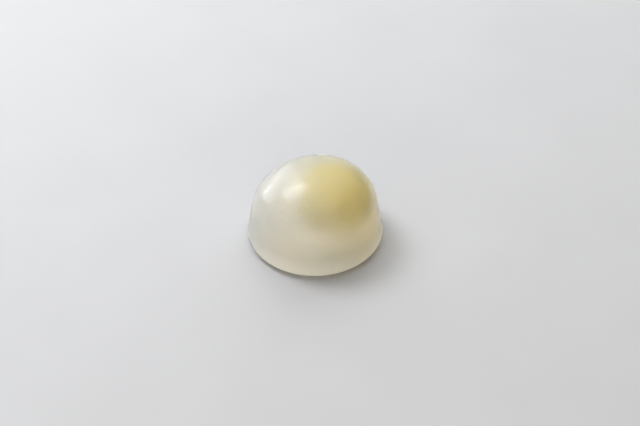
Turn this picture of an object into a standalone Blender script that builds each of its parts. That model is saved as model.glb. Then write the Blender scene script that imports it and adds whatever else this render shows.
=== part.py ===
"""Kuzu manju: a dome of set kudzu-starch jelly round a ball of sweet bean paste.

Metres, +Z up. The origin is the centre of the flat base, and -Y faces the viewer.
The sweet is uncut, so it is one solid: the paste has no surface of its own.
"""

import math

import bmesh
import bpy

MM = 0.001

# The dome
WIDTH = 54.0 * MM  # across its widest ring, just above the foot
HEIGHT = 31.6 * MM  # flat base to crown
FOOT_RADIUS = 2.85 * MM  # soft edge between the base and the wall
WALL_TAPER = math.radians(10.5)  # how far the wall leans in towards the axis
CROWN_HEIGHT = 0.607 * HEIGHT  # height of the elliptical arc that rounds off the wall

# How the soft jelly has settled
CROWN_DRIFT = 2.2 * MM  # the crown has gone this far towards +X
DRIFT_POWER = 1.7  # the drift grows with height to this power
BELLY_DRIFT = 0.55 * MM  # the wall at half height has gone this far towards -X
LOBE_COUNT = 3  # swells round the wall, greatest at half height
LOBE_HEIGHT = 0.15 * MM  # swell or pinch from the mean wall
LOBE_TURN = math.radians(38)  # where the first swell faces, from +X towards +Y

# Fineness of the surface
SPIN_STEPS = 72
FOOT_STEPS = 6
WALL_STEPS = 6
CROWN_STEPS = 20
WELD_DISTANCE = 0.001 * MM

# The jelly as it looks over the paste
JELLY_COLOUR = (0.66, 0.61, 0.46, 1.0)
JELLY_ROUGHNESS = 0.3


def clear_scene():
    for item in list(bpy.data.objects):
        bpy.data.objects.remove(item)


def dome_profile():
    """Points (radius, height) of the half section, from the base's centre up to the crown."""
    taper = math.tan(WALL_TAPER)
    foot_centre = WIDTH / 2 - FOOT_RADIUS
    # Radius that the straight wall would have at the base, tangent to the foot's arc
    wall_base = foot_centre + FOOT_RADIUS / math.cos(WALL_TAPER) + FOOT_RADIUS * taper
    # The crown's ellipse is centred on the axis and meets the wall without a kink
    crown_centre = HEIGHT - CROWN_HEIGHT
    crown_radius = math.sqrt((wall_base - crown_centre * taper) ** 2 - (CROWN_HEIGHT * taper) ** 2)
    join_angle = math.atan(CROWN_HEIGHT * taper / crown_radius)

    foot = []
    for step in range(FOOT_STEPS + 1):
        angle = -math.pi / 2 + step / FOOT_STEPS * (math.pi / 2 + WALL_TAPER)
        foot.append((foot_centre + FOOT_RADIUS * math.cos(angle), FOOT_RADIUS * (1 + math.sin(angle))))

    crown = []
    for step in range(CROWN_STEPS + 1):
        angle = join_angle + step / CROWN_STEPS * (math.pi / 2 - join_angle)
        crown.append((crown_radius * math.cos(angle), crown_centre + CROWN_HEIGHT * math.sin(angle)))

    wall = []
    wall_start = foot[-1][1]
    wall_end = crown[0][1]
    for step in range(1, WALL_STEPS):
        height = wall_start + step / WALL_STEPS * (wall_end - wall_start)
        wall.append((wall_base - height * taper, height))

    return [(0.0, 0.0)] + foot + wall + crown


def settle(point):
    """Move a point of the true dome to where the soft jelly has settled."""
    rise = point.z / HEIGHT
    belly = math.sin(math.pi * rise) ** 2
    angle = math.atan2(point.y, point.x)
    stretch = 1 + LOBE_HEIGHT / (WIDTH / 2) * math.cos(LOBE_COUNT * (angle - LOBE_TURN)) * belly
    point.x = point.x * stretch + CROWN_DRIFT * rise**DRIFT_POWER - BELLY_DRIFT * belly
    point.y = point.y * stretch


def jelly_material():
    material = bpy.data.materials.new("kuzu_jelly")
    material.use_nodes = True
    shader = material.node_tree.nodes["Principled BSDF"]
    shader.inputs["Base Color"].default_value = JELLY_COLOUR
    shader.inputs["Roughness"].default_value = JELLY_ROUGHNESS
    shader.inputs["Metallic"].default_value = 0.0
    return material


def make_kuzu_manju():
    shape = bmesh.new()
    profile = [shape.verts.new((radius, 0.0, height)) for radius, height in dome_profile()]
    edges = [shape.edges.new(pair) for pair in zip(profile, profile[1:])]
    bmesh.ops.spin(
        shape,
        geom=profile + edges,
        axis=(0.0, 0.0, 1.0),
        cent=(0.0, 0.0, 0.0),
        angle=2 * math.pi,
        steps=SPIN_STEPS,
    )
    bmesh.ops.remove_doubles(shape, verts=shape.verts, dist=WELD_DISTANCE)
    bmesh.ops.recalc_face_normals(shape, faces=shape.faces)
    for vertex in shape.verts:
        settle(vertex.co)

    mesh = bpy.data.meshes.new("kuzu_manju")
    shape.to_mesh(mesh)
    shape.free()
    mesh.shade_smooth()
    mesh.set_sharp_from_angle(angle=math.radians(40))
    mesh.materials.append(jelly_material())
    sweet = bpy.data.objects.new("kuzu_manju", mesh)
    bpy.context.collection.objects.link(sweet)


clear_scene()
make_kuzu_manju()
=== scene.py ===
"""The looks of a kuzu manju: milky kudzu-starch jelly, and the ball of bean paste sunk in it.

Metres, +Z up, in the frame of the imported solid: the origin is the centre of the flat base,
-Y faces the viewer, and the paste lies a little towards +X.
"""

import math

import bpy
import numpy as np
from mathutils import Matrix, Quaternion, Vector


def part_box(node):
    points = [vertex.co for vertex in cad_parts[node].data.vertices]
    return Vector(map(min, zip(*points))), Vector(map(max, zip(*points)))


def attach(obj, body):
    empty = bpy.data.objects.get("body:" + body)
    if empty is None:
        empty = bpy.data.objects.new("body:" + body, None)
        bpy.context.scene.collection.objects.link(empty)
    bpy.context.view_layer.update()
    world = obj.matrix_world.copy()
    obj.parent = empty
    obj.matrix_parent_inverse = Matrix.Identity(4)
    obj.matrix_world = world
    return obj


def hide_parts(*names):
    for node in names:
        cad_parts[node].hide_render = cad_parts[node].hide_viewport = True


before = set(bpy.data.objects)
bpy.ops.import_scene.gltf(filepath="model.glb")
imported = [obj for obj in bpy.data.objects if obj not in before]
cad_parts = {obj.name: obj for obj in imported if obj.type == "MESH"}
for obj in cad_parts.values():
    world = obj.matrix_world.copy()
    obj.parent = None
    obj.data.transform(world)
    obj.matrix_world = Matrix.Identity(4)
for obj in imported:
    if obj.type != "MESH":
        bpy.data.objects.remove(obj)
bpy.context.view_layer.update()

MM = 0.001

# --- Sizes of the sweet -------------------------------------------------------------------

low_corner, high_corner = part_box("kuzu_manju")
HEIGHT = high_corner.z - low_corner.z
WIDTH = 54.0 * MM  # across its widest ring, just above the foot
FOOT_RADIUS = 2.85 * MM  # soft edge between the base and the wall
WALL_TAPER = math.radians(10.5)  # how far the wall leans in towards the axis
CROWN_HEIGHT = 0.607 * HEIGHT  # height of the elliptical arc that rounds off the wall

# How the soft jelly has settled
CROWN_DRIFT = 2.2 * MM  # the crown has gone this far towards +X
DRIFT_POWER = 1.7  # the drift grows with height to this power
BELLY_DRIFT = 0.55 * MM  # the wall at half height has gone this far towards -X
LOBE_COUNT = 3  # swells round the wall, greatest at half height
LOBE_HEIGHT = 0.15 * MM
LOBE_TURN = math.radians(38)  # where the first swell faces, from +X towards +Y

# Faint dents left by the cup that it was steamed in, and the fine grain of the set jelly's skin
DENT_HEIGHT = 0.04 * MM
DENT_LENGTH = 7.0 * MM
SKIN_HEIGHT = 0.009 * MM
SKIN_LENGTH = 2.1 * MM
SMOOTH_RISE = 4.0 * MM  # the foot lies true, and the waves have their full height above this

# Pitch and phase of the wave along each axis, then those of the slower wave that bends it
WAVES = [
    (1.0, 0.0, 0.31, 1.0),
    (0.8, 1.7, 0.37, 0.5),
    (0.9, 0.0, 0.29, 2.1),
]
WAVE_BEND = 2.0

# The ball of paste, which lies high and towards +X, as it sank when the cup was filled
PASTE_CENTRE = Vector((6.6, -0.3, 16.6)) * MM
PASTE_RADIUS = 12.5 * MM
PASTE_FLATTENING = 0.92
SIDE_LUMPS = 0.012  # shares of its radius
BAND_LUMPS = 0.010

# Fineness of the meshes
JELLY_AROUND = 400
FOOT_STEPS = 14
WALL_STEPS = 36
CROWN_STEPS = 110
SHARP_ANGLE = math.radians(60)
PASTE_AROUND = 96
PASTE_STEPS = 64


# --- Meshes -------------------------------------------------------------------------------


def dome_profile():
    """Radii and heights of the half section, from the base's edge up to the crown."""
    taper = math.tan(WALL_TAPER)
    foot_centre = WIDTH / 2 - FOOT_RADIUS
    # Radius that the straight wall would have at the base, tangent to the foot's arc
    wall_base = foot_centre + FOOT_RADIUS / math.cos(WALL_TAPER) + FOOT_RADIUS * taper
    # The crown's ellipse is centred on the axis and meets the wall without a kink
    crown_centre = HEIGHT - CROWN_HEIGHT
    wall_radius = wall_base - crown_centre * taper
    crown_radius = math.sqrt(wall_radius**2 - (CROWN_HEIGHT * taper) ** 2)
    join_angle = math.atan(CROWN_HEIGHT * taper / crown_radius)

    foot = np.linspace(-math.pi / 2, WALL_TAPER, FOOT_STEPS)
    foot_radii = foot_centre + FOOT_RADIUS * np.cos(foot)
    foot_heights = FOOT_RADIUS * (1 + np.sin(foot))
    crown = np.linspace(join_angle, math.pi / 2, CROWN_STEPS)
    crown_radii = crown_radius * np.cos(crown)
    crown_heights = crown_centre + CROWN_HEIGHT * np.sin(crown)
    wall_heights = np.linspace(foot_heights[-1], crown_heights[0], WALL_STEPS)[1:-1]
    wall_radii = wall_base - wall_heights * taper

    radii = np.concatenate([foot_radii, wall_radii, crown_radii])
    heights = np.concatenate([foot_heights, wall_heights, crown_heights])
    return radii, heights


def settle(x, y, z):
    """Move points of the true dome to where the soft jelly has settled."""
    rise = z / HEIGHT
    belly = np.sin(math.pi * rise) ** 2
    lobes = np.cos(LOBE_COUNT * (np.arctan2(y, x) - LOBE_TURN))
    stretch = 1 + LOBE_HEIGHT / (WIDTH / 2) * lobes * belly
    return x * stretch + CROWN_DRIFT * rise**DRIFT_POWER - BELLY_DRIFT * belly, y * stretch, z


def crossing_waves(x, y, z, length):
    """A smooth uneven field between about -3 and 3, with crests about this length apart."""
    turn = 2 * math.pi / length
    total = 0.0
    for wave, along, across in zip(WAVES, (x, y, z), (y, z, x)):
        pitch, phase, bend_pitch, bend_phase = wave
        bend = WAVE_BEND * np.sin(turn * bend_pitch * across + bend_phase)
        total = total + np.sin(turn * pitch * along + bend + phase)
    return total


def dent(x, y, z):
    """Move points of the settled dome in and out by the dents and the grain of its skin."""
    height = DENT_HEIGHT * crossing_waves(x, y, z, DENT_LENGTH)
    height = height + SKIN_HEIGHT * crossing_waves(x, y, z, SKIN_LENGTH)
    height = height * np.clip(z / SMOOTH_RISE, 0, 1) ** 2
    stretch = 1 + height / np.sqrt(x**2 + y**2 + z**2)
    return x * stretch, y * stretch, z * stretch


def spun(radii, heights, around):
    """Coordinates of rings with these radii and heights, each of this many points."""
    angles = np.linspace(0, 2 * math.pi, around, endpoint=False)
    x = radii[:, None] * np.cos(angles)
    y = radii[:, None] * np.sin(angles)
    z = heights[:, None] + 0 * angles
    return x, y, z


def closed_rings(name, rings, bottom, top):
    """A closed mesh from rings of points, lowest first, with one point at each end."""
    count, around = rings.shape[:2]
    points = np.concatenate([rings.reshape(-1, 3), [bottom, top]])
    bottom_index = count * around
    top_index = bottom_index + 1
    here = np.arange(around)
    after = (here + 1) % around
    faces = []
    for ring in range(count - 1):
        low = ring * around
        high = low + around
        faces += np.stack([low + here, low + after, high + after, high + here], 1).tolist()
    last = (count - 1) * around
    faces += np.stack([after, here, np.full(around, bottom_index)], 1).tolist()
    faces += np.stack([last + here, last + after, np.full(around, top_index)], 1).tolist()

    mesh = bpy.data.meshes.new(name)
    mesh.from_pydata(points.tolist(), [], faces)
    mesh.validate()
    mesh.shade_smooth()
    piece = bpy.data.objects.new(name, mesh)
    bpy.context.scene.collection.objects.link(piece)
    return piece


def make_jelly():
    radii, heights = dome_profile()
    rings = np.stack(dent(*settle(*spun(radii[:-1], heights[:-1], JELLY_AROUND))), -1)
    crown = dent(*settle(np.array(0.0), np.array(0.0), np.array(HEIGHT)))
    piece = closed_rings("kuzu_jelly", rings, (0.0, 0.0, 0.0), [float(part) for part in crown])
    piece.data.set_sharp_from_angle(angle=SHARP_ANGLE)
    return piece


def make_paste():
    steps = np.linspace(-math.pi / 2, math.pi / 2, PASTE_STEPS)[1:-1]
    x, y, z = spun(np.cos(steps), np.sin(steps), PASTE_AROUND)
    # Rolled between the palms, so never quite round: broad swells on its sides, and slanting bands
    side = SIDE_LUMPS * np.sin(3 * x + 1.0) * np.cos(4 * y)
    band = BAND_LUMPS * np.sin(5 * z + 2 * x)
    lumps = 1 + side + band
    rings = np.stack([x * lumps, y * lumps, z * lumps * PASTE_FLATTENING], -1) * PASTE_RADIUS
    rings = rings + np.array(PASTE_CENTRE)
    half = Vector((0.0, 0.0, PASTE_RADIUS * PASTE_FLATTENING))
    return closed_rings("bean_paste", rings, list(PASTE_CENTRE - half), list(PASTE_CENTRE + half))


# --- Finishes -----------------------------------------------------------------------------


class Finish:
    """A material under construction."""

    def __init__(self, name):
        self.material = bpy.data.materials.new(name)
        self.material.use_nodes = True
        self.tree = self.material.node_tree
        self.tree.nodes.clear()

    def node(self, kind, settings=None, inputs=None, output=0):
        """Add one node: its settings, then its sockets' values or links. Returns one output."""
        made = self.tree.nodes.new(kind)
        for name, value in (settings or {}).items():
            setattr(made, name, value)
        for name, value in (inputs or {}).items():
            if isinstance(value, Shade):
                self.tree.links.new(value.socket, made.inputs[name])
            else:
                made.inputs[name].default_value = value
        return Shade(self, made.outputs[output]) if len(made.outputs) else None

    def colour_mix(self, share, first, second):
        return self.node(
            "ShaderNodeMix",
            {"data_type": "RGBA", "blend_type": "MIX"},
            {0: share, 6: first, 7: second},
            output=2,
        )


class Shade:
    """A socket of a finish. Arithmetic on it adds Math nodes, so it is for values only."""

    def __init__(self, finish, socket):
        self.finish = finish
        self.socket = socket

    def math(self, operation, *values):
        inputs = dict(enumerate(values))
        return self.finish.node("ShaderNodeMath", {"operation": operation}, inputs)

    def __add__(self, other):
        return self.math("ADD", self, other)

    def __radd__(self, other):
        return self.math("ADD", other, self)

    def __sub__(self, other):
        return self.math("SUBTRACT", self, other)

    def __rsub__(self, other):
        return self.math("SUBTRACT", other, self)

    def __mul__(self, other):
        return self.math("MULTIPLY", self, other)

    def __rmul__(self, other):
        return self.math("MULTIPLY", other, self)


def place(finish):
    """The shaded point, in metres from the origin."""
    return finish.node("ShaderNodeTexCoord", output="Object")


def noise(finish, point, size, detail=2.0):
    """Even noise from 0 to 1 whose lumps are about this size, in metres."""
    return finish.node(
        "ShaderNodeTexNoise",
        {"noise_dimensions": "3D"},
        {"Vector": point, "Scale": 1 / size, "Detail": detail},
    )


def far_from(finish, point, centre):
    return finish.node(
        "ShaderNodeVectorMath", {"operation": "DISTANCE"}, {0: point, 1: centre}, output="Value"
    )


def eased(finish, value, start, end):
    """0 at start, 1 at end, with a soft turn at both."""
    return finish.node(
        "ShaderNodeMapRange",
        {"interpolation_type": "SMOOTHSTEP", "clamp": True},
        {"Value": value, "From Min": start, "From Max": end},
    )


def raised(finish, grain, height, strength=1.0):
    """The way the surface faces where this grain stands up to this height."""
    return finish.node(
        "ShaderNodeBump", None, {"Strength": strength, "Distance": height, "Height": grain}
    )


# Colours of the jelly: far from the paste, in its wide tint, close over it, and painted light at
# the foot
MILKY = (0.59, 0.60, 0.60, 1.0)
CREAM = (0.565, 0.531, 0.436, 1.0)
PASTE_GLOW = (0.597, 0.515, 0.247, 1.0)
FOOT_PAINTED_LIGHT = (1.0, 0.99, 0.93, 1.0)

# The paste tints the jelly round this point, which lies to the right of the ball's centre, in
# front of it and below it. Each tint fades between two distances outside the ball's radius.
TINT_CENTRE = Vector((8.8, -2.0, 15.2)) * MM
GLOW_FADE = (1.0 * MM, 13.0 * MM)
GLOW_SHARE = 0.8
CREAM_FADE = (4.0 * MM, 34.0 * MM)
CREAM_SHARE = 0.9

# Soft clouds in the jelly, which vary its cream and its roughness
CLOUD_SIZE = 9.0 * MM
CLOUD_SHARE = 0.1
CLOUD_ROUGHNESS = 0.08

# Heights between which the painted light at the foot fades out, and between which the wet gloss
# dries
FOOT_LIGHT_FADE = (0.8 * MM, 10.0 * MM)
DRY_FADE = (25.8 * MM, 28.0 * MM)
DRIED_SHARE = 0.9

# The skin: its grain, and the wet coat over it
GRAIN_SIZE = 1.0 * MM
GRAIN_HEIGHT = 0.06 * MM
ROUGHNESS = 0.33
COAT_WEIGHT = 0.8
COAT_ROUGHNESS = 0.07
COAT_IOR = 1.4

# Light within the jelly
JELLY_IOR = 1.36
CLEARNESS = 0.85
SOFT_REACH = 9.0 * MM
SOFT_REACH_BY_COLOUR = (1.0, 0.9, 0.7)
SCATTER_COLOUR = (0.75, 0.88, 1.0, 1.0)
SCATTER_DENSITY = 49.0


def jelly_colour(finish, point, height, cloud):
    depth = far_from(finish, point, TINT_CENTRE) - PASTE_RADIUS
    glow = 1 - eased(finish, depth, *GLOW_FADE)
    cream = 1 - eased(finish, depth, *CREAM_FADE)
    body = finish.colour_mix(cream * CREAM_SHARE + cloud * CLOUD_SHARE, MILKY, CREAM)
    # Painted light: the jelly's colour is paled towards the foot, standing in for the bright rim
    # of light along it
    foot = 1 - eased(finish, height, *FOOT_LIGHT_FADE)
    body = finish.colour_mix(foot, body, FOOT_PAINTED_LIGHT)
    return finish.colour_mix(glow * GLOW_SHARE, body, PASTE_GLOW)


def jelly_finish():
    finish = Finish("kuzu_jelly")
    point = place(finish)
    height = finish.node("ShaderNodeSeparateXYZ", None, {"Vector": point}, output="Z")
    cloud = noise(finish, point, CLOUD_SIZE)
    grain = noise(finish, point, GRAIN_SIZE)
    dried = eased(finish, height, *DRY_FADE)
    shader = finish.node(
        "ShaderNodeBsdfPrincipled",
        {"subsurface_method": "RANDOM_WALK"},
        {
            "Base Color": jelly_colour(finish, point, height, cloud),
            "Roughness": ROUGHNESS + CLOUD_ROUGHNESS * cloud,
            "IOR": JELLY_IOR,
            "Subsurface Weight": 1.0,
            "Subsurface Radius": SOFT_REACH_BY_COLOUR,
            "Subsurface Scale": SOFT_REACH,
            "Transmission Weight": CLEARNESS,
            "Coat Weight": COAT_WEIGHT * (1 - DRIED_SHARE * dried),
            "Coat Roughness": COAT_ROUGHNESS,
            "Coat IOR": COAT_IOR,
            "Normal": raised(finish, grain, GRAIN_HEIGHT),
        },
    )
    scatter = finish.node(
        "ShaderNodeVolumeScatter", None, {"Color": SCATTER_COLOUR, "Density": SCATTER_DENSITY}
    )
    finish.node("ShaderNodeOutputMaterial", None, {"Surface": shader, "Volume": scatter})
    return finish.material


PASTE_DARK = (0.46, 0.40, 0.11, 1.0)
PASTE_LIGHT = (0.60, 0.53, 0.20, 1.0)
PASTE_ROUGHNESS = 0.8
PASTE_GRAIN_SIZE = 0.8 * MM
PASTE_GRAIN_DETAIL = 4.0
PASTE_GRAIN_HEIGHT = 0.2 * MM
PASTE_GRAIN_STRENGTH = 0.5


def paste_finish():
    finish = Finish("bean_paste")
    grain = noise(finish, place(finish), PASTE_GRAIN_SIZE, PASTE_GRAIN_DETAIL)
    shader = finish.node(
        "ShaderNodeBsdfPrincipled",
        None,
        {
            "Base Color": finish.colour_mix(grain, PASTE_DARK, PASTE_LIGHT),
            "Roughness": PASTE_ROUGHNESS,
            "Normal": raised(finish, grain, PASTE_GRAIN_HEIGHT, PASTE_GRAIN_STRENGTH),
        },
    )
    finish.node("ShaderNodeOutputMaterial", None, {"Surface": shader})
    return finish.material


# --- Table, light and camera --------------------------------------------------------------

TABLE_HALF_WIDTH = 1.5
TABLE_GAP = 0.1 * MM  # between the table's top and the sweet's base
TABLE_DARK = (0.25, 0.25, 0.255, 1.0)
TABLE_LIGHT = (0.27, 0.27, 0.275, 1.0)
TABLE_CLOUD_SIZE = 40.0 * MM
TABLE_ROUGHNESS = 0.7

VIEW_ELEVATION = math.radians(41)
VIEW_DISTANCE = 614.5 * MM
VIEW_POINT = Vector((1.94, 12.02, 0.0)) * MM
VIEW_ROLL = math.radians(-0.67)
LENS_MM = 85.0
SENSOR_WIDTH_MM = 36.0
NEAREST_SEEN = 10.0 * MM

# Name, shape, azimuth from +X towards +Y and elevation in degrees, distance and size in metres,
# power in watts, colour, and whether the sweet's gloss shows it
LIGHTS = [
    ("window", "RECTANGLE", 132, 6, 0.8, (0.56, 0.13), 0.66, (0.94, 0.96, 1.0), True),
    ("window glow", "ELLIPSE", 132, 17, 0.8, (0.75, 0.34), 2.0, (0.94, 0.96, 1.0), True),
    ("sky", "ELLIPSE", 143, 51, 0.9, (0.44, 0.42), 7.6, (0.95, 0.96, 1.0), True),
    ("ceiling", "ELLIPSE", 107, 72, 1.2, (1.4, 1.4), 20.0, (1.0, 1.0, 0.98), False),
    ("back", "ELLIPSE", 80, 30, 1.1, (1.6, 0.8), 12.8, (0.98, 1.0, 1.0), False),
    ("front", "ELLIPSE", -91, 9, 1.1, (1.8, 0.7), 16.8, (1.0, 0.915, 0.75), False),
    ("left", "ELLIPSE", 205, 22, 1.1, (1.3, 0.6), 3.5, (0.90, 0.95, 1.0), False),
    ("right", "ELLIPSE", -42, 3, 1.0, (1.4, 0.16), 6.6, (1.0, 0.90, 0.76), False),
]
ROOM_COLOUR = (0.95, 0.97, 1.0, 1.0)
ROOM_STRENGTH = 0.1

# How often light may turn in the milky jelly, and in all
JELLY_BOUNCES = 16
ALL_BOUNCES = 32


def table_finish():
    finish = Finish("pale_table")
    cloud = noise(finish, place(finish), TABLE_CLOUD_SIZE)
    shader = finish.node(
        "ShaderNodeBsdfPrincipled",
        None,
        {
            "Base Color": finish.colour_mix(cloud, TABLE_DARK, TABLE_LIGHT),
            "Roughness": TABLE_ROUGHNESS,
        },
    )
    finish.node("ShaderNodeOutputMaterial", None, {"Surface": shader})
    return finish.material


def make_table():
    half = TABLE_HALF_WIDTH
    corners = [(-half, -half), (half, -half), (half, half), (-half, half)]
    mesh = bpy.data.meshes.new("table")
    mesh.from_pydata([(x, y, -TABLE_GAP) for x, y in corners], [], [(0, 1, 2, 3)])
    mesh.materials.append(table_finish())
    table = bpy.data.objects.new("table", mesh)
    bpy.context.scene.collection.objects.link(table)


def add_light(name, shape, azimuth, elevation, distance, size, power, colour, glints):
    """A soft box that faces the sweet."""
    turn = math.radians(azimuth)
    lift = math.radians(elevation)
    level = math.cos(lift)
    away = Vector((math.cos(turn) * level, math.sin(turn) * level, math.sin(lift)))
    lamp = bpy.data.lights.new(name, "AREA")
    lamp.shape = shape
    lamp.size, lamp.size_y = size
    lamp.energy = power
    lamp.color = colour
    light = bpy.data.objects.new(name, lamp)
    light.location = Vector((0.0, 0.0, HEIGHT / 2)) + away * distance
    light.rotation_euler = away.to_track_quat("Z", "Y").to_euler()
    light.visible_camera = False
    light.visible_glossy = glints
    bpy.context.scene.collection.objects.link(light)


def light_room():
    for light in LIGHTS:
        add_light(*light)
    world = bpy.data.worlds.new("room")
    world.use_nodes = True
    background = world.node_tree.nodes["Background"]
    background.inputs["Color"].default_value = ROOM_COLOUR
    background.inputs["Strength"].default_value = ROOM_STRENGTH
    bpy.context.scene.world = world


def make_camera():
    back = Vector((0.0, -math.cos(VIEW_ELEVATION), math.sin(VIEW_ELEVATION)))
    data = bpy.data.cameras.new("camera")
    data.lens = LENS_MM
    data.sensor_width = SENSOR_WIDTH_MM
    data.clip_start = NEAREST_SEEN
    camera = bpy.data.objects.new("camera", data)
    camera.location = VIEW_POINT + back * VIEW_DISTANCE
    aim = back.to_track_quat("Z", "Y")
    camera.rotation_euler = (aim @ Quaternion((0.0, 0.0, 1.0), VIEW_ROLL)).to_euler()
    bpy.context.scene.collection.objects.link(camera)
    bpy.context.scene.camera = camera


def set_up_picture():
    scene = bpy.context.scene
    scene.view_settings.view_transform = "Standard"
    scene.cycles.volume_bounces = JELLY_BOUNCES
    scene.cycles.transmission_bounces = JELLY_BOUNCES
    scene.cycles.max_bounces = ALL_BOUNCES


# --- The sweet ----------------------------------------------------------------------------

jelly = make_jelly()
jelly.data.materials.append(jelly_finish())
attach(jelly, "root")
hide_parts("kuzu_manju")

paste = make_paste()
paste.data.materials.append(paste_finish())
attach(paste, "root")

make_table()
light_room()
make_camera()
set_up_picture()
